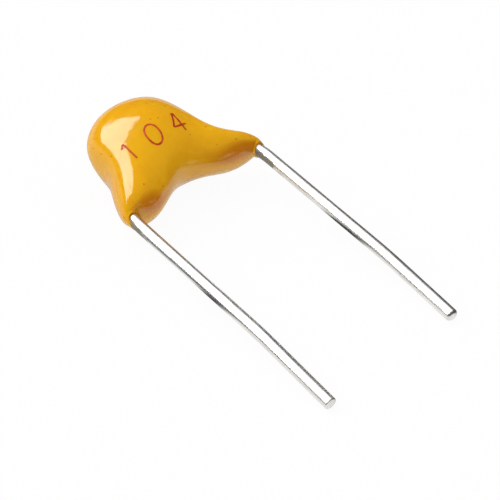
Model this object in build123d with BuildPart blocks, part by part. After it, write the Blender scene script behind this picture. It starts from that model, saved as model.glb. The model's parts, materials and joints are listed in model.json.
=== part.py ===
from build123d import *
from math import atan2, cos, exp, hypot, radians, sin, sqrt
import os

# A radial leaded multilayer ceramic capacitor: a dipped epoxy coat with two flared legs,
# two tinned wires, and a ceramic chip soldered between the wires inside the coat.
# It lies on its back with its marked face up and its wires pointing to -Y.
# Sizes are in millimetres and angles in degrees.

# wires
wire_diameter = 0.4
lead_pitch = 5.08
lead_run = 5.4              # straight stretch between the coat and the slight bend
lead_bend = 2.9             # both wires are bent a little towards -X
lead_bend_radius = 20.0
left_pin_length = 2.7       # straight stretch from the bend to the tip
right_pin_length = 2.5
left_tip_chamfer = 0.04      # the left wire is cut square
right_tip_round = 0.11       # the right wire's tip is rounded
exit_angle = 18.0           # slant at which a wire leaves the coat
exit_radius = 2.0
flare_angle = 62.0          # slant of the wire inside the leg of the coat
kink_radius = 0.5
inner_radius = 0.4
wire_top_inset = 0.3        # the wire ends this far below the chip's upper side

# ceramic chip
ceramic_length = 1.84
ceramic_width = 1.1
ceramic_height = 0.9
chip_across = -0.25
chip_along = 2.1
electrode_count = 10
electrode_thickness = 0.02
electrode_spacing = 0.07
electrode_side_margin = 0.15
electrode_end_margin = 0.25
termination_thickness = 0.05
termination_band = 0.35
plating_thickness = 0.03
plating_round = 0.02

# solder
solder_wall = 0.06          # solder over the wire
solder_length = 0.8
solder_foot = 0.8           # height of the solder where it meets the chip
solder_edge = 0.03          # thickness of the solder's thin edges on the chip

# epoxy coat
head_thickness = 2.7
head_top_cover = 1.05       # coat beyond the chip, away from the wires
head_side_cover = 0.12      # coat outside a wire, level with the chip
crotch_along = 0.35         # bottom of the notch between the legs
left_leg_thickness = 1.92
right_leg_thickness = 1.8
left_nose_length = 0.2      # share of the way round the coat in which a leg narrows to its nose
right_nose_length = 0.3
head_spread = 0.16          # share of the way round over which the head is thicker than the legs
nose_thickness = 0.64
nose_wall = 0.04            # coat beside the wire where it leaves
nose_inset = 0.04           # how far the noses stand inside the wires' pitch
nose_drop = 0.17            # how far a nose reaches below the middle of the wire's exit bend
leg_cover = 0.08            # coat outside the wire's kink in the slimmer right leg
rundown = 0.13              # how far the coat runs down a wire beyond the leg's nose
rundown_slant = 35.0        # the rundown ends higher on the marked side than underneath
rundown_wall = 0.015        # coat left on the wire where the rundown ends
section_count = 21

# worked out from the sizes above
wire_radius = wire_diameter / 2
exit_across = lead_pitch / 2
capped_width = ceramic_width + 2 * termination_thickness
capped_height = ceramic_height + 2 * termination_thickness
plated_length = ceramic_length + 2 * (termination_thickness + plating_thickness)
plated_width = capped_width + 2 * plating_thickness
plated_height = capped_height + 2 * plating_thickness
wire_offset = plated_length / 2 + wire_radius
wire_top = chip_along + plated_width / 2 - wire_top_inset
exit_shift = exit_radius * (1 - cos(radians(exit_angle)))
kink_shift = kink_radius * (cos(radians(exit_angle)) - cos(radians(flare_angle)))
kink_rise = kink_radius * (sin(radians(flare_angle)) - sin(radians(exit_angle)))
inner_shift = inner_radius * (1 - cos(radians(flare_angle)))
inner_rise = inner_radius * sin(radians(flare_angle))

# the coat's outline seen from its marked side, with the wires towards -Y: an outer line over
# the head and an inner line along the notch, both from the left nose to the right nose
head_left = chip_across - wire_offset - wire_radius - head_side_cover
head_right = chip_across + wire_offset + wire_radius + head_side_cover
head_top = chip_along + plated_width / 2 + head_top_cover
nose_reach = wire_radius + nose_wall
nose_middle = exit_across - nose_inset
right_leg_across = exit_across - exit_shift - kink_shift + (wire_radius + leg_cover) * cos(radians(flare_angle))
right_leg_along = kink_rise + (wire_radius + leg_cover) * sin(radians(flare_angle))

with BuildLine() as outer_line:
    Spline(
        (-nose_middle - nose_reach, 0.07),
        (-exit_across + 0.15, 0.98),
        (head_left - 0.22, 1.85),
        (head_left, 3.0),
        (head_left + 0.82, head_top - 0.08),
        (head_left + 1.77, head_top),
        (head_right - 0.39, head_top - 0.33),
        (head_right, 2.65),
        (head_right + 0.15, 1.72),
        (exit_across - 0.74, 0.98),
        (right_leg_across, right_leg_along),
        (nose_middle + nose_reach, 0.09),
    )
with BuildLine() as inner_line:
    Spline(
        (-nose_middle + nose_reach, -nose_drop),
        (-exit_across + 1.04, -0.24),
        (-0.93, crotch_along - 0.33),
        (-0.46, crotch_along - 0.1),
        (0, crotch_along),
        (0.48, crotch_along - 0.11),
        (1.03, crotch_along - 0.33),
        (exit_across - 0.87, -0.14),
        (nose_middle - nose_reach, -nose_drop),
    )

# how it lies: the back of its head and the tip of its longer wire touch the ground
bend = radians(lead_bend)
left_tip = lead_run + lead_bend_radius * sin(bend) + left_pin_length * cos(bend)
bend_shift = lead_bend_radius * (1 - cos(bend)) + left_pin_length * sin(bend)
head_end = outer_line.line.bounding_box().max.Y
head_middle = (head_end + crotch_along) / 2
head_reach = (head_end - crotch_along) / 2
rest_length = head_middle + left_tip
slope_a = rest_length**2 - head_reach**2
slope_b = rest_length * wire_radius
slope_c = wire_radius**2 - (head_thickness / 2) ** 2
tilt = atan2(sqrt(slope_b**2 - slope_a * slope_c) - slope_b, slope_a)
exit_height = wire_radius * cos(tilt) + left_tip * sin(tilt)
far_end = head_middle * cos(tilt) + hypot(head_reach * cos(tilt), head_thickness / 2 * sin(tilt))
near_end = -left_tip * cos(tilt) - wire_radius * sin(tilt)
middle_y = (far_end + near_end) / 2
right_side = exit_across + wire_radius + rundown_wall
left_side = -exit_across - bend_shift - wire_radius * cos(bend)
middle_x = (right_side + left_side) / 2


def spot(across, along, above=0.0):
    """A place measured on the lying body: across it, away from its wires and up from its middle."""
    return Vector(
        across - middle_x,
        along * cos(tilt) - above * sin(tilt) - middle_y,
        exit_height + along * sin(tilt) + above * cos(tilt),
    )


def way(across, along, above=0.0):
    """A direction measured on the lying body."""
    return Vector(across, along * cos(tilt) - above * sin(tilt), along * sin(tilt) + above * cos(tilt))


body_plane = Plane(origin=spot(0, 0), x_dir=way(1, 0), z_dir=way(0, 0, 1))
chip_plane = Plane(origin=spot(chip_across, chip_along), x_dir=way(1, 0), z_dir=way(0, 0, 1))


def end_plane(side, reach):
    """A plane across the chip's length, reach away from its middle on one side and facing outwards."""
    return Plane(
        origin=spot(chip_across + side * reach, chip_along),
        x_dir=way(0, 1),
        z_dir=way(side, 0),
    )


# ceramic body, with a slot for each inner electrode
first_level = -electrode_spacing * (electrode_count - 1) / 2
electrode_levels = [first_level + electrode_spacing * number for number in range(electrode_count)]
electrode_length = ceramic_length - electrode_end_margin
electrode_width = ceramic_width - 2 * electrode_side_margin


def electrode_side(number):
    """Electrodes reach the left and the right end of the chip in turn."""
    return -1 if number % 2 == 0 else 1


with BuildPart() as ceramic_body:
    with BuildSketch(chip_plane):
        Rectangle(ceramic_length, ceramic_width)
    extrude(amount=ceramic_height / 2, both=True)
    for number, level in enumerate(electrode_levels):
        with BuildSketch(chip_plane.offset(level - electrode_thickness / 2)):
            with Locations((electrode_side(number) * electrode_end_margin / 2, 0)):
                Rectangle(electrode_length, electrode_width)
        extrude(amount=electrode_thickness, mode=Mode.SUBTRACT)
ceramic_body.part.label = "ceramic_body"

# inner electrodes, counted from the bottom
electrodes = []
for number, level in enumerate(electrode_levels):
    with BuildPart() as electrode:
        with BuildSketch(chip_plane.offset(level - electrode_thickness / 2)):
            with Locations((electrode_side(number) * electrode_end_margin / 2, 0)):
                Rectangle(electrode_length, electrode_width)
        extrude(amount=electrode_thickness)
    electrode.part.label = f"electrode_{number + 1}"
    electrodes.append(electrode.part)


def make_termination(side, name):
    """The fired metal cap on one end of the ceramic."""
    with BuildPart() as termination:
        with BuildSketch(end_plane(side, ceramic_length / 2 + termination_thickness)):
            Rectangle(capped_width, capped_height)
        extrude(amount=-termination_band - termination_thickness)
        with BuildSketch(end_plane(side, ceramic_length / 2)):
            Rectangle(ceramic_width, ceramic_height)
        extrude(amount=-termination_band, mode=Mode.SUBTRACT)
    termination.part.label = f"{name}_termination"
    return termination.part


def make_plating(side, name):
    """The plating over one termination, with its outer edges rounded."""
    with BuildPart() as plating:
        with BuildSketch(end_plane(side, plated_length / 2)):
            Rectangle(plated_width, plated_height)
        extrude(amount=-termination_band - termination_thickness - plating_thickness)
        outer_end = plating.faces().sort_by(Axis.X)[0 if side < 0 else -1]
        fillet(outer_end.edges(), radius=plating_round)
        with BuildSketch(end_plane(side, ceramic_length / 2 + termination_thickness)):
            Rectangle(capped_width, capped_height)
        extrude(amount=-termination_band - termination_thickness, mode=Mode.SUBTRACT)
    plating.part.label = f"{name}_plating"
    return plating.part


def wire_path(side, pin_length):
    """The middle line of one wire, from the chip's end out through the leg and on to the tip."""
    inner_across = chip_across + side * wire_offset
    sideways = abs(side * exit_across - inner_across) - exit_shift - kink_shift - inner_shift
    slope_length = sideways / sin(radians(flare_angle))
    slope_top = kink_rise + slope_length * cos(radians(flare_angle)) + inner_rise
    with BuildLine(body_plane) as path:
        Line((inner_across, wire_top), (inner_across, slope_top))
        turned = JernArc((inner_across, slope_top), (0, -1), inner_radius, side * flare_angle)
        slope = PolarLine(turned @ 1, slope_length, direction=turned % 1)
        kink = JernArc(slope @ 1, slope % 1, kink_radius, -side * (flare_angle - exit_angle))
        leaving = JernArc(kink @ 1, kink % 1, exit_radius, -side * exit_angle)
        run = PolarLine(leaving @ 1, lead_run - exit_radius * sin(radians(exit_angle)), direction=leaving % 1)
        bend = JernArc(run @ 1, run % 1, lead_bend_radius, -lead_bend)
        PolarLine(bend @ 1, pin_length, direction=bend % 1)
    return path.wire()


def tip_edges(lead):
    """The edge round the end of a wire that is furthest from the coat."""
    return lead.faces().sort_by(Axis.Y)[0].edges()


left_path = wire_path(-1, left_pin_length)
with BuildPart() as left_lead:
    with BuildSketch(Plane(origin=left_path @ 0, z_dir=left_path % 0)):
        Circle(wire_radius)
    sweep(path=left_path)
    chamfer(tip_edges(left_lead), length=left_tip_chamfer)
left_lead.part.label = "left_lead"

right_path = wire_path(1, right_pin_length)
with BuildPart() as right_lead:
    with BuildSketch(Plane(origin=right_path @ 0, z_dir=right_path % 0)):
        Circle(wire_radius)
    sweep(path=right_path)
    fillet(tip_edges(right_lead), radius=right_tip_round)
right_lead.part.label = "right_lead"


def make_solder(side, name, lead_part):
    """Solder filling the corners between one wire and the plated end of the chip."""
    solder_depth = wire_diameter + solder_wall
    upper_end = Plane(
        origin=spot(chip_across + side * plated_length / 2, wire_top + solder_wall),
        x_dir=way(side, 0),
        z_dir=way(0, -1),
    )
    with BuildPart() as solder:
        with BuildSketch(upper_end):
            with Locations((wire_radius, 0)):
                Circle(wire_radius + solder_wall)
            with Locations((solder_edge / 2, 0)):
                Rectangle(solder_edge, solder_foot)
            make_hull()
            with Locations((solder_depth / 2, 0)):
                Rectangle(solder_depth, solder_foot, mode=Mode.INTERSECT)
        extrude(amount=solder_length)
        add(lead_part, mode=Mode.SUBTRACT)
    solder.part.label = f"{name}_solder"
    return solder.part


left_termination = make_termination(-1, "left")
right_termination = make_termination(1, "right")
left_plating = make_plating(-1, "left")
right_plating = make_plating(1, "right")
left_solder = make_solder(-1, "left", left_lead.part)
right_solder = make_solder(1, "right", right_lead.part)
end_pieces = [
    left_termination,
    right_termination,
    left_plating,
    right_plating,
    left_solder,
    right_solder,
    left_lead.part,
    right_lead.part,
]


def coat_thickness(share):
    """Thickness of the coat at a share of the way from the left nose to the right nose."""
    if share < 0.5:
        way_in, nose_length, leg_thickness = share, left_nose_length, left_leg_thickness
    else:
        way_in, nose_length, leg_thickness = 1 - share, right_nose_length, right_leg_thickness
    # a leg swells from its blunt nose like the end of an oval
    blunt = 1 - sqrt(1 - (nose_thickness / leg_thickness) ** 2)
    swell = min(1, way_in / nose_length + blunt)
    leg = leg_thickness * sqrt(1 - (1 - swell) ** 2)
    head = (head_thickness - leg_thickness) * exp(-(((share - 0.5) / head_spread) ** 2))
    return leg + head


def oval_section(plane, width, thickness):
    """An oval face made of four quarters, so that a loft joins each quarter to its like."""
    with BuildSketch(plane) as oval:
        with BuildLine():
            for start in (0, 90, 180, 270):
                EllipticalCenterArc((0, 0), width / 2, thickness / 2, start_angle=start, arc_size=90)
        make_face()
    return oval.sketch


def coat_section(share):
    """The coat's section at a share of the way round, strung from the inner to the outer line."""
    outer, inner = outer_line.line @ share, inner_line.line @ share
    middle, long_axis = (outer + inner) / 2, outer - inner
    fan_plane = Plane(
        origin=spot(middle.X, middle.Y),
        x_dir=way(long_axis.X, long_axis.Y),
        z_dir=way(long_axis.Y, -long_axis.X),
    )
    return oval_section(fan_plane, long_axis.length, coat_thickness(share))


def rundown_section(side):
    """The slanted end of the coat on one wire."""
    slant = radians(rundown_slant)
    end_width = wire_diameter + 2 * rundown_wall
    slanted_plane = Plane(
        origin=spot(side * exit_across, -nose_drop - rundown),
        x_dir=way(side, 0),
        z_dir=way(0, -side * cos(slant), side * sin(slant)),
    )
    return oval_section(slanted_plane, end_width, end_width / cos(slant))


with BuildPart() as epoxy_coat:
    # a fan of sections over the head, then the rundown from each nose on to its wire
    loft(sections=[coat_section(number / (section_count - 1)) for number in range(section_count)])
    loft(sections=[coat_section(0), rundown_section(-1)])
    loft(sections=[coat_section(1), rundown_section(1)])
    # the room for the chip, its caps, the solder and the wires
    with BuildSketch(chip_plane):
        Rectangle(ceramic_length, ceramic_width)
    extrude(amount=ceramic_height / 2, both=True, mode=Mode.SUBTRACT)
    for inside in end_pieces:
        add(inside, mode=Mode.SUBTRACT)
epoxy_coat.part.label = "epoxy_coat"

os.makedirs("parts", exist_ok=True)
for piece in [epoxy_coat.part, ceramic_body.part] + electrodes + end_pieces:
    export_step(piece, f"parts/{piece.label}.step")
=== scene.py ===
import bpy
import json
import math
import numpy as np
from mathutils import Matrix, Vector


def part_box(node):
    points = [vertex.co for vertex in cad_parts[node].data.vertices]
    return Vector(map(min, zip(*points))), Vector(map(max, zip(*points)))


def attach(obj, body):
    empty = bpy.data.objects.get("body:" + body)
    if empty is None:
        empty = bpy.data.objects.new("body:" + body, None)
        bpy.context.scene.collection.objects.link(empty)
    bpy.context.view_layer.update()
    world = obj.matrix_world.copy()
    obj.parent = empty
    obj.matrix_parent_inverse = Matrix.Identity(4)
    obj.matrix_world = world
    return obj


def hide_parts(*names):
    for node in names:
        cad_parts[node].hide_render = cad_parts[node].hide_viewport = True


# A dipped ceramic capacitor lying on its back, its two tinned wires towards -Y.
# Pieces are drawn in millimetres on the lying body: x across it, y away from the wires,
# z up from its middle. finishTree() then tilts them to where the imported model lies, in metres.
# Settings are in millimetres and degrees too, but materials and lamps are in metres.

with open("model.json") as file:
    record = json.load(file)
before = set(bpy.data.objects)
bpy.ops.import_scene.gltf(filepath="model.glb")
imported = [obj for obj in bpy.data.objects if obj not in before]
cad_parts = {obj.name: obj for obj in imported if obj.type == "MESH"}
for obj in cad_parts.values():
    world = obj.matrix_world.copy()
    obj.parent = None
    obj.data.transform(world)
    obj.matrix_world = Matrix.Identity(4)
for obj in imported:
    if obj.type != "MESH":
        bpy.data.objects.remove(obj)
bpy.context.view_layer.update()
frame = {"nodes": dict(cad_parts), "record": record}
scene = bpy.context.scene
millimetre = 0.001

# both wires, left then right where they differ: each flares out inside the coat,
# leaves it at a slight angle, runs straight and bends a little towards its tip
wire = {
    "radius": 0.2,
    "pitch": 5.08,
    "innerAcross": (-1.45, 0.95),
    "innerTop": 2.43,
    "innerBendRadius": 0.4,
    "flareAngle": 62.0,
    "kinkRadius": 0.5,
    "exitAngle": 18.0,
    "exitRadius": 2.0,
    "run": 5.4,
    "bend": 2.9,
    "bendRadius": 20.0,
    "pinLengths": (2.7, 2.5),
    "tipRounds": (0.035, 0.11),
    "unevenness": 0.006,
    "unevenScale": 1.3,
    "stepsPerLeg": 24,
    "stepsPerTip": 20,
    "stepsRound": 72,
}

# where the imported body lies, read from the wires' boxes and the pin mount's direction
pinAxis = frame["record"]["mounts"][0]["axis"]
awayFromTips = math.copysign(1.0, pinAxis[1])
tilt = math.atan2(awayFromTips * pinAxis[2], awayFromTips * pinAxis[1])
leadHigh = Vector(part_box("left_lead")[1]) / millimetre
bodyOrigin = Vector((
    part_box("right_lead")[1][0] / millimetre - wire["pitch"] / 2 - wire["radius"],
    leadHigh.y - wire["innerTop"] * math.cos(tilt) - wire["radius"] * math.sin(tilt),
    leadHigh.z - wire["innerTop"] * math.sin(tilt) - wire["radius"] * math.cos(tilt),
))
print("body lies at", tuple(round(v, 4) for v in bodyOrigin), "mm,",
      "tilted", round(math.degrees(tilt), 3), "degrees")


# node tree helpers

def feed(tree, socket, value):
    if isinstance(value, bpy.types.NodeSocket):
        tree.links.new(value, socket)
    else:
        socket.default_value = value


def addNode(tree, kind, inputs=None, **settings):
    node = tree.nodes.new(kind)
    for name, value in settings.items():
        setattr(node, name, value)
    for key, value in (inputs or {}).items():
        feed(tree, node.inputs[key], value)
    return node


def read(tree, kind, output=0):
    return tree.nodes.new(kind).outputs[output]


def calc(tree, operation, *values):
    node = addNode(tree, "ShaderNodeMath", operation=operation)
    for socket, value in zip(node.inputs, values):
        feed(tree, socket, value)
    return node.outputs[0]


def vecCalc(tree, operation, *values):
    node = addNode(tree, "ShaderNodeVectorMath", operation=operation)
    for socket, value in zip([s for s in node.inputs if s.enabled], values):
        feed(tree, socket, value)
    return node.outputs["Value" if operation in ("LENGTH", "DOT_PRODUCT") else "Vector"]


def splitVector(tree, vector):
    return addNode(tree, "ShaderNodeSeparateXYZ", {0: vector}).outputs


def joinVector(tree, x=0.0, y=0.0, z=0.0):
    return addNode(tree, "ShaderNodeCombineXYZ", {0: x, 1: y, 2: z}).outputs[0]


def remap(tree, value, span, result=(0.0, 1.0), smooth=False):
    # carries the value from the span to the result, and holds it there at both ends
    node = addNode(tree, "ShaderNodeMapRange", {
        "Value": value, "From Min": span[0], "From Max": span[1],
        "To Min": result[0], "To Max": result[1],
    }, interpolation_type="SMOOTHSTEP" if smooth else "LINEAR")
    return node.outputs[0]


def mixer(kind, firstInput, output):
    # the Mix node has two inputs and an output of its own for each kind of value
    def blend(tree, factor, a, b):
        inputs = {0: factor, firstInput: a, firstInput + 1: b}
        return addNode(tree, "ShaderNodeMix", inputs, data_type=kind).outputs[output]
    return blend


blendValues = mixer("FLOAT", 2, 0)
blendVectors = mixer("VECTOR", 4, 1)
blendColours = mixer("RGBA", 6, 2)


def addInputs(tree, values):
    # a named input for each value, which it has until it is given another
    kinds = {int: "NodeSocketInt", float: "NodeSocketFloat", tuple: "NodeSocketVector"}
    for label, value in values.items():
        socket = tree.interface.new_socket(label, in_out="INPUT", socket_type=kinds[type(value)])
        socket.default_value = value


def startTree(name, objects, sizes):
    tree = bpy.data.node_groups.new(name, "GeometryNodeTree")
    tree.is_modifier = True
    addInputs(tree, {"Body Origin": tuple(bodyOrigin * millimetre), "Body Tilt": (tilt, 0.0, 0.0)})
    tree.interface.new_socket("Material", in_out="INPUT", socket_type="NodeSocketMaterial")
    for label in objects:
        tree.interface.new_socket(label, in_out="INPUT", socket_type="NodeSocketObject")
    addInputs(tree, sizes)
    tree.interface.new_socket("Geometry", in_out="OUTPUT", socket_type="NodeSocketGeometry")
    return tree, tree.nodes.new("NodeGroupInput").outputs


def finishTree(tree, geometry, given):
    # place the piece where the body lies, then make it a plain mesh with its material
    placed = addNode(tree, "GeometryNodeTransform", {
        "Geometry": geometry,
        "Translation": given["Body Origin"],
        "Rotation": given["Body Tilt"],
        "Scale": (millimetre, millimetre, millimetre),
    })
    smooth = addNode(tree, "GeometryNodeSetShadeSmooth", {"Geometry": placed.outputs[0]})
    real = addNode(tree, "GeometryNodeRealizeInstances", {"Geometry": smooth.outputs[0]})
    coloured = addNode(tree, "GeometryNodeSetMaterial", {
        "Geometry": real.outputs[0], "Material": given["Material"]})
    addNode(tree, "NodeGroupOutput", {0: coloured.outputs[0]})
    return tree


# shapes that more than one tree uses

def quarterRound(tree, inset, least=0.0):
    # height of a quarter circle: 1 at inset 0, falling to 0 at inset 1
    square = calc(tree, "MULTIPLY", inset, inset)
    return calc(tree, "SQRT", calc(tree, "MAXIMUM", calc(tree, "SUBTRACT", 1.0, square), least))


def wander(tree, size, scale, detail, seed=None):
    # smooth noise to both sides of zero
    inputs = {"Scale": scale, "Detail": detail}
    if seed is not None:
        inputs["W"] = seed
    noise = addNode(tree, "ShaderNodeTexNoise", inputs,
                    noise_dimensions="3D" if seed is None else "4D")
    return calc(tree, "MULTIPLY", calc(tree, "SUBTRACT", noise.outputs["Fac"], 0.5), size)


def readLine(tree, source):
    return addNode(tree, "GeometryNodeObjectInfo", {"Object": source}).outputs["Geometry"]


def lengthsAlong(tree):
    # from the line's start to the point, and from the point to the line's end
    reached = read(tree, "GeometryNodeSplineParameter", "Length")
    whole = read(tree, "GeometryNodeSplineLength", "Length")
    return reached, calc(tree, "SUBTRACT", whole, reached)


def roundTube(tree, line, radius, stepsRound):
    ring = addNode(tree, "GeometryNodeCurvePrimitiveCircle", {
        "Resolution": stepsRound, "Radius": 1.0})
    tube = addNode(tree, "GeometryNodeCurveToMesh", {
        "Curve": line, "Profile Curve": ring.outputs["Curve"], "Scale": radius, "Fill Caps": True})
    return tube.outputs[0]


# objects and lines

def addObject(name, data):
    thing = bpy.data.objects.new(name, data)
    scene.collection.objects.link(thing)
    return thing


def startLine(name):
    data = bpy.data.curves.new(name, "CURVE")
    data.dimensions = "3D"
    return data


def addSpline(data, kind, places):
    spline = data.splines.new(kind)
    spline.points.add(len(places) - 1)
    for point, place in zip(spline.points, places):
        point.co = (*place, 0, 1)
    return spline


def makePiece(name, tree, values):
    # run the tree on an empty mesh and keep its result as a plain mesh
    shell = addObject(name + "_maker", bpy.data.meshes.new(name + "_maker"))
    modifier = shell.modifiers.new("shape", "NODES")
    modifier.node_group = tree
    for item in tree.interface.items_tree:
        if item.in_out == "INPUT" and item.name in values:
            modifier[item.identifier] = values[item.name]
    bpy.context.view_layer.update()
    result = shell.evaluated_get(bpy.context.evaluated_depsgraph_get())
    mesh = bpy.data.meshes.new_from_object(result)
    mesh.name = name
    shell.modifiers.remove(modifier)
    bpy.data.objects.remove(shell)
    print(name, "has", len(mesh.polygons), "faces")
    return addObject(name, mesh)


# surface effects shared by the materials

def startEffect(name, inputs, output, kind):
    group = bpy.data.node_groups.new(name, "ShaderNodeTree")
    addInputs(group, inputs)
    group.interface.new_socket(output, in_out="OUTPUT", socket_type=kind)
    return group, group.nodes.new("NodeGroupInput").outputs


def finishEffect(group, result):
    addNode(group, "NodeGroupOutput", {0: result})
    return group


def useEffect(tree, group, values):
    return addNode(tree, "ShaderNodeGroup", values, node_tree=group).outputs[0]


def addNoise(tree, place, scale, detail, roughness=0.5):
    return addNode(tree, "ShaderNodeTexNoise", {
        "Vector": place, "Scale": scale, "Detail": detail, "Roughness": roughness}).outputs["Fac"]


def mottleEffect():
    # soft cloudy variation, 0 to 1, in two sizes
    group, given = startEffect("mottle", {
        "Coarse Scale": 600.0, "Fine Scale": 4000.0, "Fine Share": 0.35,
    }, "Mask", "NodeSocketFloat")
    place = read(group, "ShaderNodeTexCoord", "Object")
    coarse = addNoise(group, place, given["Coarse Scale"], detail=3.0, roughness=0.55)
    fine = addNoise(group, place, given["Fine Scale"], detail=4.0, roughness=0.6)
    return finishEffect(group, blendValues(group, given["Fine Share"], coarse, fine))


def speckEffect():
    # sparse small dots: 1 inside a dot
    group, given = startEffect("specks", {
        "Scale": 4000.0, "Size": 0.12, "Share": 0.08,
    }, "Mask", "NodeSocketFloat")
    cells = addNode(group, "ShaderNodeTexVoronoi", {
        "Vector": read(group, "ShaderNodeTexCoord", "Object"), "Scale": given["Scale"]})
    dot = calc(group, "LESS_THAN", cells.outputs["Distance"], given["Size"])
    pick = addNode(group, "ShaderNodeSeparateColor", {0: cells.outputs["Color"]})
    chosen = calc(group, "LESS_THAN", pick.outputs[0], given["Share"])
    return finishEffect(group, calc(group, "MULTIPLY", dot, chosen))


def rollEffect():
    # undulation of a dipped or drawn surface, as a normal
    group, given = startEffect("roll", {
        "Wave Scale": 900.0, "Peel Scale": 6000.0, "Wave": 0.2, "Peel": 0.05,
        "Wave Depth": 0.0002, "Peel Depth": 0.00005, "Stretch": (1.0, 1.0, 1.0),
    }, "Normal", "NodeSocketVector")
    place = read(group, "ShaderNodeTexCoord", "Object")
    stretched = vecCalc(group, "MULTIPLY", place, given["Stretch"])
    wave = addNoise(group, stretched, given["Wave Scale"], detail=2.0)
    peel = addNoise(group, stretched, given["Peel Scale"], detail=3.0)
    waved = addNode(group, "ShaderNodeBump", {
        "Strength": given["Wave"], "Distance": given["Wave Depth"], "Height": wave})
    peeled = addNode(group, "ShaderNodeBump", {
        "Strength": given["Peel"], "Distance": given["Peel Depth"], "Height": peel,
        "Normal": waved.outputs[0]})
    return finishEffect(group, peeled.outputs[0])


mottle = mottleEffect()
specks = speckEffect()
roll = rollEffect()


# materials

def startNodes(owner):
    owner.use_nodes = True
    owner.node_tree.nodes.clear()
    return owner.node_tree


def startMaterial(name):
    material = bpy.data.materials.new(name)
    return material, startNodes(material)


def finishMaterial(material, inputs):
    shader = addNode(material.node_tree, "ShaderNodeBsdfPrincipled", inputs)
    addNode(material.node_tree, "ShaderNodeOutputMaterial", {"Surface": shader.outputs[0]})
    return material


def epoxyMaterial():
    look = {
        "light": (0.87, 0.445, 0.004, 1),
        "deep": (0.81, 0.38, 0.003, 1),
        "cloudRange": (0.38, 0.62),
        "thickInkAndShade": (0.62, 0.205, 0.001, 1),     # painted shade on the legs' sides that face the wires
        "shadeFacing": (0.0, -0.985, 0.17),   # the way that those ends face
        "shadeFacingRange": (0.79, 0.99),
        "shadeUpRange": (-0.25, 0.06),        # none on the underside
        "shadeAcross": (0.0002, 0.0013),      # metres to either side of the notch
        "shadeInNotch": 0.15,
        # dark colour of the small pits: painted shade
        "pitShade": (0.42, 0.17, 0.008, 1),
        "pitShadeAmount": 0.6,
        "speckPit": 0.35,
        "speckDepth": 0.00002,
        "roughnessFrom": (0.3, 0.7),          # of the cloud
        "roughness": (0.08, 0.14),
    }
    material, tree = startMaterial("dipped_epoxy")
    cloud = useEffect(tree, mottle, {
        "Coarse Scale": 450.0, "Fine Scale": 3500.0, "Fine Share": 0.4})
    lit = remap(tree, cloud, look["cloudRange"])
    clouded = blendColours(tree, lit, look["deep"], look["light"])

    # painted shade: the sides facing the wires are darkened to deep orange, less in the notch
    # between the legs and none on the underside
    facing = read(tree, "ShaderNodeNewGeometry", "Normal")
    towardsEnd = remap(tree, vecCalc(tree, "DOT_PRODUCT", facing, look["shadeFacing"]),
                       look["shadeFacingRange"], smooth=True)
    onSide = remap(tree, splitVector(tree, facing)[2], look["shadeUpRange"])
    across = splitVector(tree, read(tree, "ShaderNodeTexCoord", "Object"))[0]
    fromMiddle = calc(tree, "ABSOLUTE", calc(tree, "SUBTRACT", across, bodyOrigin.x * millimetre))
    onLeg = remap(tree, fromMiddle, look["shadeAcross"], (look["shadeInNotch"], 1.0), smooth=True)
    share = calc(tree, "MULTIPLY", calc(tree, "MULTIPLY", towardsEnd, onLeg), onSide)
    body = blendColours(tree, share, clouded, look["thickInkAndShade"])

    # dark dots that the bump below presses in as small pits: their dark colour is painted shade in
    # the pits
    dots = useEffect(tree, specks, {"Scale": 5000.0, "Size": 0.17, "Share": 0.26})
    paintedPitShade = calc(tree, "MULTIPLY", dots, look["pitShadeAmount"])
    rolled = useEffect(tree, roll, {
        "Wave Scale": 700.0, "Peel Scale": 6500.0, "Wave": 0.2, "Peel": 0.11})
    pitted = addNode(tree, "ShaderNodeBump", {
        "Strength": look["speckPit"], "Distance": look["speckDepth"],
        "Height": dots, "Normal": rolled}, invert=True)
    return finishMaterial(material, {
        "Base Color": blendColours(tree, paintedPitShade, body, look["pitShade"]),
        "Roughness": remap(tree, cloud, look["roughnessFrom"], look["roughness"]),
        "Normal": pitted.outputs[0],
        "IOR": 1.6,
        "Subsurface Weight": 0.25,
        "Subsurface Radius": (1.0, 0.3, 0.03),
        "Subsurface Scale": 0.0003,
    })


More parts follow.
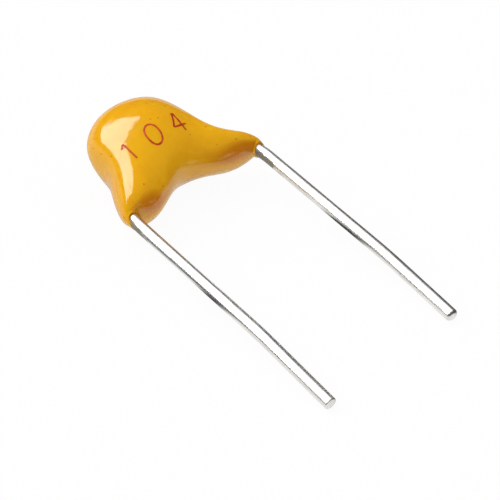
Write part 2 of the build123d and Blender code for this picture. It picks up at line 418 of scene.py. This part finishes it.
def tinMaterial():
    look = {
        "bright": (0.86, 0.85, 0.82, 1),
        "dull": (0.60, 0.575, 0.53, 1),
        "drawn": (1.0, 0.06, 1.0),         # drawing lines, long in y
        "drawnScale": 16000.0,
        "dullRange": (0.2, 0.36),
        "dullMost": 0.55,
        "reflectedShade": (0.13, 0.12, 0.08, 1),    # painted reflection of the coat's dark underside and painted shade, below the wire by the coat
        "blotchScale": 3800.0,
        "reflectedShadeAlong": (-1.6, -0.5),        # millimetres along the body, from none to most
        "reflectedShadeGain": 0.62,
        "reflectedShadeFacing": (-0.85, 0.0, -0.52),
        "reflectedShadeFacingRange": (-0.1, 0.5),
        "reflectedShadeRange": (0.72, 0.92),
        "reflectedShadeMost": 0.85,
        "roughnessFrom": (0.35, 0.65),     # of the cloud
        "roughness": (0.28, 0.38),
    }
    material, tree = startMaterial("tinned_copper")
    place = read(tree, "ShaderNodeTexCoord", "Object")
    lines = addNoise(tree, vecCalc(tree, "MULTIPLY", place, look["drawn"]),
                     look["drawnScale"], detail=3.0)
    cloud = useEffect(tree, mottle, {
        "Coarse Scale": 1500.0, "Fine Scale": 9000.0, "Fine Share": 0.5})
    wear = remap(tree, calc(tree, "MULTIPLY", lines, cloud),
                 look["dullRange"], (0.0, look["dullMost"]))
    tinned = blendColours(tree, wear, look["bright"], look["dull"])

    # painted reflection and shade: the lower flank near the coat turns dark and less metallic,
    # broken up by blotches
    fromBody = vecCalc(tree, "SUBTRACT", place, tuple(bodyOrigin * millimetre))
    bodyAxis = (0.0, math.cos(tilt) / millimetre, math.sin(tilt) / millimetre)
    beside = remap(tree, vecCalc(tree, "DOT_PRODUCT", fromBody, bodyAxis),
                   look["reflectedShadeAlong"], (0.0, look["reflectedShadeGain"]))
    facing = read(tree, "ShaderNodeNewGeometry", "Normal")
    below = remap(tree, vecCalc(tree, "DOT_PRODUCT", facing, look["reflectedShadeFacing"]),
                  look["reflectedShadeFacingRange"])
    blotch = addNoise(tree, place, look["blotchScale"], detail=4.0)
    reach = calc(tree, "ADD", blotch, calc(tree, "MULTIPLY", beside, below))
    reflectedShadeShare = remap(tree, reach, look["reflectedShadeRange"], (0.0, look["reflectedShadeMost"]))
    return finishMaterial(material, {
        "Base Color": blendColours(tree, reflectedShadeShare, tinned, look["reflectedShade"]),
        "Metallic": calc(tree, "SUBTRACT", 1.0, reflectedShadeShare),
        "Roughness": remap(tree, cloud, look["roughnessFrom"], look["roughness"]),
        "Normal": useEffect(tree, roll, {
            "Wave Scale": 2600.0, "Peel Scale": 14000.0, "Wave": 0.08, "Peel": 0.05,
            "Stretch": (1.0, 0.12, 1.0)}),
    })


def inkMaterial():
    look = {
        "thickInkAndShade": (0.46, 0.014, 0.001, 1),
        "thin": (0.66, 0.08, 0.001, 1),
        "cloudRange": (0.4, 0.62),
    }
    material, tree = startMaterial("brown_ink")
    cloud = useEffect(tree, mottle, {
        "Coarse Scale": 3000.0, "Fine Scale": 15000.0, "Fine Share": 0.4})
    thinned = remap(tree, cloud, look["cloudRange"])
    return finishMaterial(material, {
        "Base Color": blendColours(tree, thinned, look["thickInkAndShade"], look["thin"]),
        "Roughness": 0.4,
        "Specular IOR Level": 0.25,
        "Normal": useEffect(tree, roll, {
            "Wave Scale": 4000.0, "Peel Scale": 20000.0, "Wave": 0.1, "Peel": 0.1}),
    })


epoxy = epoxyMaterial()
tin = tinMaterial()
ink = inkMaterial()
print("materials are made")


# the coat

coat = {
    # seen from above, from the left wire round to the right one
    "lines": {
        "Outer Line": [
            (-2.74, 0.07), (-2.39, 0.98), (-1.99, 1.85), (-1.77, 3.0), (-0.95, 3.7), (0.0, 3.78),
            (0.88, 3.45), (1.27, 2.65), (1.42, 1.72), (1.8, 0.98), (2.333, 0.534), (2.74, 0.09)],
        "Inner Line": [
            (-2.26, -0.17), (-1.5, -0.24), (-0.93, 0.02), (-0.46, 0.25), (0.0, 0.35),
            (0.48, 0.24), (1.03, 0.02), (1.67, -0.14), (2.26, -0.17)],
    },
    "lineSteps": 40,
    "sizes": {
        "Head Thickness": 2.7,
        "Head Spread": 0.16,
        "Left Leg Thickness": 1.92,
        "Right Leg Thickness": 1.8,
        "Left Nose Length": 0.2,
        "Right Nose Length": 0.3,
        "Nose Thickness": 0.64,
        "Lip": 0.025,              # share of the grid that turns in from a nose to its wire
        "Left Lip Along": -0.28,   # where each lip ends on its wire, at the wire's sides
        "Right Lip Along": -0.2,
        "Left Lip Slant": 0.24,    # how much sooner it ends on top than underneath
        "Right Lip Slant": 0.12,
        "Lip Bulge": 0.05,
        "Wire Radius": wire["radius"],
        "Wire Across": wire["pitch"] / 2,
        "Wave Size": 0.012,
        "Wave Length": 1.1,
        "Wave Fade": 0.6,          # how far from the noses the waves are full
        "Weld Distance": 0.0001,
        "Steps Along": 420,
        "Steps Round": 180,
        "Seed": 7.0,
    },
}


def outlineCurve(name, points):
    # smooth line through the points, spaced by their distances, as a curve with handles
    spots = np.array(points, dtype=float)
    gaps = np.linalg.norm(np.diff(spots, axis=0), axis=1)
    knots = np.concatenate([[0], np.cumsum(gaps)])
    slopes = np.diff(spots, axis=0) / gaps[:, None]

    def endSlope(times, places):
        # slope at the first point of the cubic through four points
        return np.polyfit(times - times[0], places, 3)[-2]

    count = len(spots)
    matrix = np.zeros((count, count))
    right = np.zeros((count, 2))
    matrix[0, 0] = matrix[-1, -1] = 1
    right[0] = endSlope(knots[:4], spots[:4])
    right[-1] = -endSlope(-knots[:-5:-1], spots[:-5:-1])
    for k in range(1, count - 1):
        matrix[k, k - 1:k + 2] = gaps[k], 2 * (gaps[k - 1] + gaps[k]), gaps[k - 1]
        right[k] = 3 * (gaps[k] * slopes[k - 1] + gaps[k - 1] * slopes[k])
    tangents = np.linalg.solve(matrix, right)

    data = startLine(name)
    spline = data.splines.new("BEZIER")
    spline.bezier_points.add(count - 1)
    spline.resolution_u = coat["lineSteps"]
    for k, point in enumerate(spline.bezier_points):
        before = gaps[max(k - 1, 0)] / 3
        after = gaps[min(k, count - 2)] / 3
        point.handle_left_type = point.handle_right_type = "FREE"
        point.co = (*spots[k], 0)
        point.handle_left = (*(spots[k] - tangents[k] * before), 0)
        point.handle_right = (*(spots[k] + tangents[k] * after), 0)
    return addObject(name, data)


def bySide(tree, given, isRight, label):
    return blendValues(tree, isRight, given["Left " + label], given["Right " + label])


def coatThickness(tree, given, share, isRight):
    # each leg swells from its blunt nose to its full thickness, and the head adds to both
    legFull = bySide(tree, given, isRight, "Leg Thickness")
    noseLength = bySide(tree, given, isRight, "Nose Length")
    noseShare = calc(tree, "DIVIDE", given["Nose Thickness"], legFull)
    blunt = calc(tree, "SUBTRACT", 1.0, quarterRound(tree, noseShare))
    wayIn = calc(tree, "MINIMUM", share, calc(tree, "SUBTRACT", 1.0, share))
    swell = calc(tree, "ADD", calc(tree, "DIVIDE", wayIn, noseLength), blunt)
    hollow = calc(tree, "SUBTRACT", 1.0, calc(tree, "MINIMUM", swell, 1.0))
    leg = calc(tree, "MULTIPLY", legFull, quarterRound(tree, hollow))
    spread = calc(tree, "DIVIDE", calc(tree, "SUBTRACT", share, 0.5), given["Head Spread"])
    falloff = calc(tree, "MULTIPLY", calc(tree, "MULTIPLY", spread, spread), -1.0)
    head = calc(tree, "MULTIPLY", calc(tree, "SUBTRACT", given["Head Thickness"], legFull),
                calc(tree, "EXPONENT", falloff))
    return calc(tree, "ADD", leg, head)


def coatOval(tree, given, share, thickness, around, upward):
    # oval strung between the two outlines
    ends = []
    for label in coat["lines"]:
        sample = addNode(tree, "GeometryNodeSampleCurve", {
            "Curves": readLine(tree, given[label]), "Factor": share})
        ends.append(sample.outputs["Position"])
    middle = vecCalc(tree, "SCALE", vecCalc(tree, "ADD", *ends), 0.5)
    reach = vecCalc(tree, "SCALE", vecCalc(tree, "SUBTRACT", *ends), 0.5)
    rise = calc(tree, "MULTIPLY", calc(tree, "MULTIPLY", thickness, 0.5), upward)
    flat = vecCalc(tree, "ADD", middle, vecCalc(tree, "SCALE", reach, around))
    return vecCalc(tree, "ADD", flat, joinVector(tree, z=rise))


def coatLip(tree, given, oval, turnIn, isRight, around, upward):
    # lip from the nose's oval in to the wire, slanted so that it covers more of the wire below
    side = calc(tree, "SUBTRACT", calc(tree, "MULTIPLY", isRight, 2.0), 1.0)
    lipAlong = bySide(tree, given, isRight, "Lip Along")
    lipSlant = bySide(tree, given, isRight, "Lip Slant")
    across = calc(tree, "ADD", given["Wire Across"],
                  calc(tree, "MULTIPLY", given["Wire Radius"], around))
    onWire = joinVector(
        tree,
        calc(tree, "MULTIPLY", side, across),
        calc(tree, "ADD", lipAlong, calc(tree, "MULTIPLY", lipSlant, upward)),
        calc(tree, "MULTIPLY", given["Wire Radius"], upward),
    )
    swing = calc(tree, "SINE", calc(tree, "MULTIPLY", turnIn, math.pi))
    bulge = calc(tree, "MULTIPLY", given["Lip Bulge"], calc(tree, "MULTIPLY", swing, -1.0))
    lipped = vecCalc(tree, "ADD", blendVectors(tree, turnIn, oval, onWire),
                     joinVector(tree, y=bulge))

    # the last ring closes on the wire's middle, out of sight inside it
    lastRing = 0.999
    wireMiddle = joinVector(tree, calc(tree, "MULTIPLY", side, given["Wire Across"]), lipAlong)
    return blendVectors(tree, calc(tree, "GREATER_THAN", turnIn, lastRing), lipped, wireMiddle)


def coatWaves(tree, given, geometry):
    # slow undulation of the dipped surface, fading out at the noses
    height = wander(tree, calc(tree, "MULTIPLY", given["Wave Size"], 2.0),
                    calc(tree, "DIVIDE", 1.0, given["Wave Length"]),
                    detail=2.0, seed=given["Seed"])
    along = splitVector(tree, read(tree, "GeometryNodeInputPosition"))[1]
    fade = remap(tree, along, (0.0, given["Wave Fade"]))
    offset = vecCalc(tree, "SCALE", read(tree, "GeometryNodeInputNormal"),
                     calc(tree, "MULTIPLY", height, fade))
    waved = addNode(tree, "GeometryNodeSetPosition", {"Geometry": geometry, "Offset": offset})
    return waved.outputs[0]


def coatTree():
    # a grid around the origin, bent so that its length goes from wire to wire, its width round
    tree, given = startTree("coatShape", coat["lines"], coat["sizes"])
    grid = addNode(tree, "GeometryNodeMeshGrid", {
        "Size X": 1.0, "Size Y": 1.0,
        "Vertices X": calc(tree, "ADD", given["Steps Along"], 1),
        "Vertices Y": calc(tree, "ADD", given["Steps Round"], 1),
    })
    place = splitVector(tree, read(tree, "GeometryNodeInputPosition"))
    walk, roundShare = [calc(tree, "ADD", place[axis], 0.5) for axis in (0, 1)]
    angle = calc(tree, "MULTIPLY", roundShare, 2 * math.pi)
    around, upward = calc(tree, "COSINE", angle), calc(tree, "SINE", angle)

    # walk runs from wire to wire, share from nose to nose, and turnIn from 0 on a nose
    # to 1 on its wire
    lip = given["Lip"]
    span = calc(tree, "SUBTRACT", 1.0, calc(tree, "MULTIPLY", lip, 2.0))
    rawShare = calc(tree, "DIVIDE", calc(tree, "SUBTRACT", walk, lip), span)
    share = calc(tree, "MINIMUM", calc(tree, "MAXIMUM", rawShare, 0.0), 1.0)
    isRight = calc(tree, "GREATER_THAN", share, 0.5)
    fromEnd = calc(tree, "MINIMUM", walk, calc(tree, "SUBTRACT", 1.0, walk))
    rawTurn = calc(tree, "SUBTRACT", 1.0, calc(tree, "DIVIDE", fromEnd, lip))
    turnIn = calc(tree, "MAXIMUM", rawTurn, 0.0)

    thickness = coatThickness(tree, given, share, isRight)
    oval = coatOval(tree, given, share, thickness, around, upward)
    shaped = addNode(tree, "GeometryNodeSetPosition", {
        "Geometry": grid.outputs["Mesh"],
        "Position": coatLip(tree, given, oval, turnIn, isRight, around, upward),
    })
    joined = addNode(tree, "GeometryNodeMergeByDistance", {
        "Geometry": shaped.outputs[0], "Distance": given["Weld Distance"]})
    # the bent grid's faces point in, so they are turned round
    outward = addNode(tree, "GeometryNodeFlipFaces", {"Mesh": joined.outputs[0]})
    return finishTree(tree, coatWaves(tree, given, outward.outputs[0]), given)


outlines = {label: outlineCurve(label, points) for label, points in coat["lines"].items()}
epoxyCoat = makePiece("dipped_coat", coatTree(), {"Material": epoxy, **outlines})
for line in outlines.values():
    bpy.data.objects.remove(line)
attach(epoxyCoat, "root")
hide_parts("epoxy_coat")
print("coat is made")


# the wires

def wirePath(number):
    # middle line from the end inside the coat to the tip, as straight runs and arcs
    side = (-1, 1)[number]
    tipRound = wire["tipRounds"][number]
    exitAngle, flare = math.radians(wire["exitAngle"]), math.radians(wire["flareAngle"])
    inner = wire["innerAcross"][number]
    exitShift = wire["exitRadius"] * (1 - math.cos(exitAngle))
    kinkShift = wire["kinkRadius"] * (math.cos(exitAngle) - math.cos(flare))
    kinkRise = wire["kinkRadius"] * (math.sin(flare) - math.sin(exitAngle))
    bendShift = wire["innerBendRadius"] * (1 - math.cos(flare))
    bendRise = wire["innerBendRadius"] * math.sin(flare)
    sideways = abs(side * wire["pitch"] / 2 - inner) - exitShift - kinkShift - bendShift
    slope = sideways / math.sin(flare)
    slopeTop = kinkRise + slope * math.cos(flare) + bendRise
    points, heading = [np.array([inner, wire["innerTop"]])], -math.pi / 2

    def addLeg(size, turn=0.0, steps=wire["stepsPerLeg"]):
        # a straight run of this length, or an arc of this radius
        nonlocal heading
        stride = 2 * size * math.sin(abs(turn) / steps / 2) if turn else size / steps
        for _ in range(steps):
            heading += turn / steps / 2
            points.append(points[-1] + np.array([math.cos(heading), math.sin(heading)]) * stride)
            heading += turn / steps / 2

    addLeg(wire["innerTop"] - slopeTop)
    addLeg(wire["innerBendRadius"], side * flare)
    addLeg(slope)
    addLeg(wire["kinkRadius"], -side * (flare - exitAngle))
    addLeg(wire["exitRadius"], -side * exitAngle)
    addLeg(wire["run"] - wire["exitRadius"] * math.sin(exitAngle))
    addLeg(wire["bendRadius"], -math.radians(wire["bend"]))
    addLeg(wire["pinLengths"][number] - 2 * tipRound)
    addLeg(2 * tipRound, steps=wire["stepsPerTip"])   # close steps where the tip rounds off
    return points


def leadTree():
    tree, given = startTree("leadShape", ["Path"], {
        "Wire Radius": wire["radius"],
        "Tip Round": wire["tipRounds"][0],
        "Unevenness": wire["unevenness"],
        "Uneven Scale": wire["unevenScale"],
        "Steps Round": wire["stepsRound"],
    })
    # the tip is an oval end as long as the tip round
    toTip = calc(tree, "DIVIDE", lengthsAlong(tree)[1], given["Tip Round"])
    inset = calc(tree, "SUBTRACT", 1.0, calc(tree, "MINIMUM", toTip, 1.0))
    depth = calc(tree, "MULTIPLY", given["Tip Round"],
                 calc(tree, "SUBTRACT", 1.0, quarterRound(tree, inset)))
    uneven = wander(tree, given["Unevenness"], given["Uneven Scale"], detail=2.0)
    radius = calc(tree, "ADD", calc(tree, "SUBTRACT", given["Wire Radius"], depth), uneven)
    tube = roundTube(tree, readLine(tree, given["Path"]), radius, given["Steps Round"])
    return finishTree(tree, tube, given)


leadShape = leadTree()
wires = []
for number, label in enumerate(("left", "right")):
    pathData = startLine(label + "_path")
    addSpline(pathData, "POLY", wirePath(number))
    path = addObject(label + "_path", pathData)
    lead = makePiece(label + "_tinned_wire", leadShape, {
        "Material": tin, "Path": path, "Tip Round": wire["tipRounds"][number]})
    bpy.data.objects.remove(path)
    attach(lead, "root")
    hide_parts(label + "_lead")
    wires.append(lead)
print("wires are made")


# the value code, raised a little off the coat: a plain three-digit one of this kind of part

code = {
    "height": 0.72,
    "width": 0.46,
    "firstAcross": -1.66,
    "pitch": 0.93,
    "baseAlong": 1.07,
    # strokes in shares of a digit's width and height
    "digits": [
        [[(0.2, 0.78), (0.36, 0.86), (0.52, 1.0), (0.53, 0.66), (0.51, 0.32), (0.53, 0.0)]],
        [[(0.5, 1.0), (0.2, 0.93), (0.03, 0.7), (0.0, 0.48), (0.05, 0.22), (0.22, 0.04),
          (0.48, 0.0), (0.78, 0.07), (0.95, 0.28), (1.0, 0.52), (0.95, 0.78), (0.76, 0.96),
          (0.5, 1.0)]],
        [[(0.66, 1.0), (0.42, 0.7), (0.2, 0.46), (0.0, 0.31), (0.3, 0.29), (0.65, 0.3),
          (1.04, 0.29)],
         [(0.68, 0.98), (0.7, 0.6), (0.68, 0.3), (0.7, 0.0)]],
    ],
    "curveSteps": 12,
    "sizes": {
        "Stroke Radius": 0.031,
        "Thickness": 0.22,         # share of a round stroke's height that is left
        "Step": 0.012,
        "Unevenness": 1.1,
        "Uneven Scale": 9.0,
        "End Blob": 0.25,          # ink is thicker where a stroke starts and stops
        "Blob Fade": 0.35,
        "Least End": 0.02,         # keeps the last ring from closing to a point
        "Cast Height": 5.0,        # the strokes are dropped on to the coat from here
        "Steps Round": 16,
        "Seed": 3.0,
    },
}


def codeStrokes():
    data = startLine("code_strokes")
    for number, digit in enumerate(code["digits"]):
        left = code["firstAcross"] + number * code["pitch"]
        for stroke in digit:
            spline = addSpline(data, "NURBS", [
                (left + across * code["width"], code["baseAlong"] + up * code["height"])
                for across, up in stroke])
            spline.order_u = 3
            spline.resolution_u = code["curveSteps"]
            spline.use_endpoint_u = True
    return addObject("code_strokes", data)


def inkLine(tree, given):
    # round strokes with soft ends, a little thicker at the ends and uneven along the way
    fine = addNode(tree, "GeometryNodeResampleCurve", {
        "Curve": readLine(tree, given["Strokes"]), "Length": given["Step"]}, mode="LENGTH")
    toEnd = calc(tree, "DIVIDE", calc(tree, "MINIMUM", *lengthsAlong(tree)),
                 given["Stroke Radius"])
    inset = calc(tree, "SUBTRACT", 1.0, calc(tree, "MINIMUM", toEnd, 1.0))
    rounded = quarterRound(tree, inset, given["Least End"])
    fading = calc(tree, "MULTIPLY", toEnd, calc(tree, "MULTIPLY", given["Blob Fade"], -1.0))
    blob = calc(tree, "ADD", 1.0,
                calc(tree, "MULTIPLY", given["End Blob"], calc(tree, "EXPONENT", fading)))
    uneven = calc(tree, "ADD", 1.0, wander(
        tree, given["Unevenness"], given["Uneven Scale"], detail=3.0, seed=given["Seed"]))
    radius = calc(tree, "MULTIPLY", calc(tree, "MULTIPLY", given["Stroke Radius"], uneven),
                  calc(tree, "MULTIPLY", rounded, blob))
    return roundTube(tree, fine.outputs[0], radius, given["Steps Round"])


def codeTree():
    tree, given = startTree("codeShape", ["Strokes", "Coat"], code["sizes"])
    tube = inkLine(tree, given)

    # lay the flattened strokes on the coat, brought back to the drawing's millimetres
    shifted = addNode(tree, "GeometryNodeTransform", {
        "Geometry": readLine(tree, given["Coat"]),
        "Translation": vecCalc(tree, "SCALE", given["Body Origin"], -1.0)})
    drawn = addNode(tree, "GeometryNodeTransform", {
        "Geometry": shifted.outputs[0],
        "Rotation": vecCalc(tree, "SCALE", given["Body Tilt"], -1.0),
        "Scale": (1 / millimetre, 1 / millimetre, 1 / millimetre)})
    spot = splitVector(tree, read(tree, "GeometryNodeInputPosition"))
    hit = addNode(tree, "GeometryNodeRaycast", {
        "Target Geometry": drawn.outputs[0],
        "Source Position": joinVector(tree, spot[0], spot[1], given["Cast Height"]),
        "Ray Direction": (0.0, 0.0, -1.0),
        "Ray Length": calc(tree, "MULTIPLY", given["Cast Height"], 2.0)})
    landed = splitVector(tree, hit.outputs["Hit Position"])[2]
    raised = calc(tree, "ADD", landed, calc(tree, "MULTIPLY", spot[2], given["Thickness"]))
    laid = addNode(tree, "GeometryNodeSetPosition", {
        "Geometry": tube, "Position": joinVector(tree, spot[0], spot[1], raised)})
    return finishTree(tree, laid.outputs[0], given)


strokes = codeStrokes()
valueCode = makePiece("value_code", codeTree(), {
    "Material": ink, "Strokes": strokes, "Coat": epoxyCoat})
bpy.data.objects.remove(strokes)
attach(valueCode, "root")
print("value code is made")


# the pieces inside the coat keep their meshes and get their materials

inside = {
    "fired_ceramic": {
        "nodes": ["ceramic_body"],
        "light": (0.62, 0.50, 0.36, 1), "dark": (0.50, 0.38, 0.26, 1),
        "metallic": 0.0, "roughness": 0.55, "cloudScale": 2500.0, "peel": 0.2},
    "nickel_layer": {
        "nodes": [f"electrode_{k}" for k in range(1, 11)],
        "light": (0.52, 0.50, 0.46, 1), "dark": (0.40, 0.38, 0.34, 1),
        "metallic": 1.0, "roughness": 0.4, "cloudScale": 3000.0, "peel": 0.15},
    "fired_end_metal": {
        "nodes": ["left_termination", "right_termination"],
        "light": (0.70, 0.42, 0.28, 1), "dark": (0.55, 0.30, 0.18, 1),
        "metallic": 1.0, "roughness": 0.5, "cloudScale": 3000.0, "peel": 0.25},
    "tin_plating": {
        "nodes": ["left_plating", "right_plating"],
        "light": (0.80, 0.80, 0.77, 1), "dark": (0.66, 0.65, 0.62, 1),
        "metallic": 1.0, "roughness": 0.35, "cloudScale": 3000.0, "peel": 0.15},
    "solder": {
        "nodes": ["left_solder", "right_solder"],
        "light": (0.74, 0.74, 0.73, 1), "dark": (0.58, 0.58, 0.57, 1),
        "metallic": 1.0, "roughness": 0.28, "cloudScale": 1800.0, "peel": 0.1},
}


def innerMaterial(name, look):
    # plain fired, plated or soldered surface
    litFrom, roughnessFrom, roughnessSwing = (0.38, 0.62), (0.35, 0.65), 0.06
    coarse, roughness = look["cloudScale"], look["roughness"]
    material, tree = startMaterial(name)
    cloud = useEffect(tree, mottle, {
        "Coarse Scale": coarse, "Fine Scale": coarse * 7, "Fine Share": 0.5})
    lit = remap(tree, cloud, litFrom)
    return finishMaterial(material, {
        "Base Color": blendColours(tree, lit, look["dark"], look["light"]),
        "Roughness": remap(tree, cloud, roughnessFrom,
                           (roughness - roughnessSwing, roughness + roughnessSwing)),
        "Metallic": look["metallic"],
        "Normal": useEffect(tree, roll, {
            "Wave Scale": coarse * 2, "Peel Scale": coarse * 10,
            "Wave": 0.08, "Peel": look["peel"]}),
    })


for name, look in inside.items():
    finish = innerMaterial(name, look)
    for nodeName in look["nodes"]:
        worn = frame["nodes"][nodeName].data.materials
        worn.clear()
        worn.append(finish)
print("inner pieces are finished")


# camera, floor and light

view = {
    "azimuth": -41.5,
    "elevation": 42.0,
    "distance": 65.6,
    "target": (-0.339, -0.403, 0.6),
    "focalPixels": 2189.0,
    "framePixels": 500.0,
    "sensor": 36.0,
    "clip": (1.0, 10000.0),
}


def makeCamera():
    data = bpy.data.cameras.new("camera")
    camera = addObject("camera", data)
    azimuth, elevation = math.radians(view["azimuth"]), math.radians(view["elevation"])
    back = Vector((math.sin(azimuth) * math.cos(elevation),
                   -math.cos(azimuth) * math.cos(elevation), math.sin(elevation)))
    camera.location = (Vector(view["target"]) + back * view["distance"]) * millimetre
    camera.rotation_euler = (math.pi / 2 - elevation, 0, azimuth)
    data.sensor_width = view["sensor"]
    data.lens = view["focalPixels"] / view["framePixels"] * view["sensor"]
    data.clip_start, data.clip_end = [reach * millimetre for reach in view["clip"]]
    scene.camera = camera


def rayKinds(tree):
    # the camera's rays, and those of reflections or of light through glass
    rays = tree.nodes.new("ShaderNodeLightPath").outputs
    mirror = calc(tree, "MAXIMUM", rays["Is Glossy Ray"], rays["Is Transmission Ray"])
    return rays["Is Camera Ray"], mirror


paper = {
    "halfWidth": 1500.0,
    "colour": (0.82, 0.82, 0.82, 1),
    "seenWhite": 0.95,            # how much of it the camera sees as plain white
    # in reflections it carries painted light under and behind the object and beside its wires, and
    # painted shadow elsewhere: each patch of painted light by its lowest and highest corner
    "paintedLightPatches": [
        ((-3.4, 0.2), (4.5, 6.0)),
        ((-80.0, 5.2), (80.0, 80.0)),
        ((-4.7, -7.5), (-2.6, -1.8)),
        ((1.3, -7.5), (2.6, -2.4)),
    ],
    "patchFade": 0.9,
    "bright": 0.96,
    "paintedShadow": 0.04,
    "behind": (1.0, 5.0),         # the reflected level falls from here to there
    "behindLevels": (0.96, 0.6),
}


def paintedLightShare(tree, spot):
    # 1 in a patch of painted light, fading to 0 around it
    def outside(value, low, high):
        middle, half = (low + high) / 2 * millimetre, (high - low) / 2 * millimetre
        away = calc(tree, "ABSOLUTE", calc(tree, "SUBTRACT", value, middle))
        return calc(tree, "MAXIMUM", calc(tree, "SUBTRACT", away, half), 0.0)

    bright = 0.0
    for low, high in paper["paintedLightPatches"]:
        away = joinVector(tree, outside(spot[0], low[0], high[0]),
                          outside(spot[1], low[1], high[1]))
        near = remap(tree, vecCalc(tree, "LENGTH", away),
                     (0.0, paper["patchFade"] * millimetre), (1.0, 0.0), smooth=True)
        bright = calc(tree, "MAXIMUM", near, bright)
    return bright


def makeFloor():
    half = paper["halfWidth"] * millimetre
    mesh = bpy.data.meshes.new("floor")
    corners = [(-half, -half, 0), (half, -half, 0), (half, half, 0), (-half, half, 0)]
    mesh.from_pydata(corners, [], [(0, 1, 2, 3)])
    floor = addObject("floor", mesh)
    material, tree = startMaterial("white_paper")
    camera, mirror = rayKinds(tree)
    spot = splitVector(tree, read(tree, "ShaderNodeTexCoord", "Object"))
    behind = remap(tree, spot[1], [y * millimetre for y in paper["behind"]], paper["behindLevels"])
    # level in reflections: painted shadow everywhere, with painted light added in the patches
    level = calc(tree, "ADD", paper["paintedShadow"],
                 calc(tree, "MULTIPLY", paintedLightShare(tree, spot), paper["bright"]))
    matt = addNode(tree, "ShaderNodeBsdfDiffuse", {"Color": paper["colour"]})
    white = addNode(tree, "ShaderNodeEmission", {"Color": (1, 1, 1, 1), "Strength": 1.0})
    reflected = addNode(tree, "ShaderNodeEmission", {
        "Color": (1, 1, 1, 1), "Strength": calc(tree, "MULTIPLY", behind, level)})
    plain = addNode(tree, "ShaderNodeMixShader", {
        0: calc(tree, "MULTIPLY", camera, paper["seenWhite"]),
        1: matt.outputs[0], 2: white.outputs[0]})
    mixed = addNode(tree, "ShaderNodeMixShader", {
        0: mirror, 1: plain.outputs[0], 2: reflected.outputs[0]})
    addNode(tree, "ShaderNodeOutputMaterial", {"Surface": mixed.outputs[0]})
    mesh.materials.append(material)


room = {
    "fill": 0.75,                 # level of its light on matt surfaces
    "seen": 0.08,                 # level in reflections
    "dark": 0.5,                  # share that is left near the horizon
    "bandRange": (0.156, 0.338),  # height over which it grows to full
}


def makeWorld():
    # pale room: dark near the horizon, bright above, plain white to the camera
    world = bpy.data.worlds.new("room")
    scene.world = world
    tree = startNodes(world)
    camera, mirror = rayKinds(tree)
    height = splitVector(tree, read(tree, "ShaderNodeTexCoord", "Generated"))[2]
    band = remap(tree, height, room["bandRange"], (room["dark"], 1.0), smooth=True)
    light = calc(tree, "MULTIPLY", blendValues(tree, mirror, room["fill"], room["seen"]), band)
    glow = addNode(tree, "ShaderNodeBackground", {
        "Color": (1, 1, 1, 1), "Strength": blendValues(tree, camera, light, 1.0)})
    addNode(tree, "ShaderNodeOutputWorld", {"Surface": glow.outputs[0]})


# the window shows in reflections and its light comes from daylight, so that each has its own
# level, and only the wires see wire_sky; azimuths are counted from +Y towards +X
lampDistance = 0.4
lamps = {
    "window": {
        "azimuth": -33.0, "elevation": 42.0, "size": (0.46, 0.38), "power": 2.9,
        "onDiffuse": False},
    "wire_sky": {
        "azimuth": 8.0, "elevation": 62.0, "size": (0.56, 0.66), "power": 1.5,
        "onDiffuse": False, "only": wires},
    "daylight": {
        "azimuth": -28.0, "elevation": 50.0, "size": (0.4, 0.4), "power": 0.98,
        "onGlossy": False},
}


def addLamp(name, azimuth, elevation, size, power, onDiffuse=True, onGlossy=True, only=()):
    data = bpy.data.lights.new(name, "AREA")
    data.shape = "RECTANGLE"
    data.size, data.size_y = size
    data.energy = power
    lamp = addObject(name, data)
    turn, lift = math.radians(azimuth), math.radians(elevation)
    towards = Vector((math.sin(turn) * math.cos(lift), math.cos(turn) * math.cos(lift),
                      math.sin(lift)))
    lamp.location = towards * lampDistance
    lamp.rotation_euler = towards.to_track_quat("Z", "Y").to_euler()
    lamp.visible_diffuse = onDiffuse
    lamp.visible_glossy = onGlossy
    if only:
        lit = bpy.data.collections.new(name + "_lit")
        for piece in only:
            lit.objects.link(piece)
        lamp.light_linking.receiver_collection = lit


makeCamera()
makeFloor()
makeWorld()
for name, settings in lamps.items():
    addLamp(name, **settings)
scene.view_settings.view_transform = "Standard"
print("camera, floor and light are set")
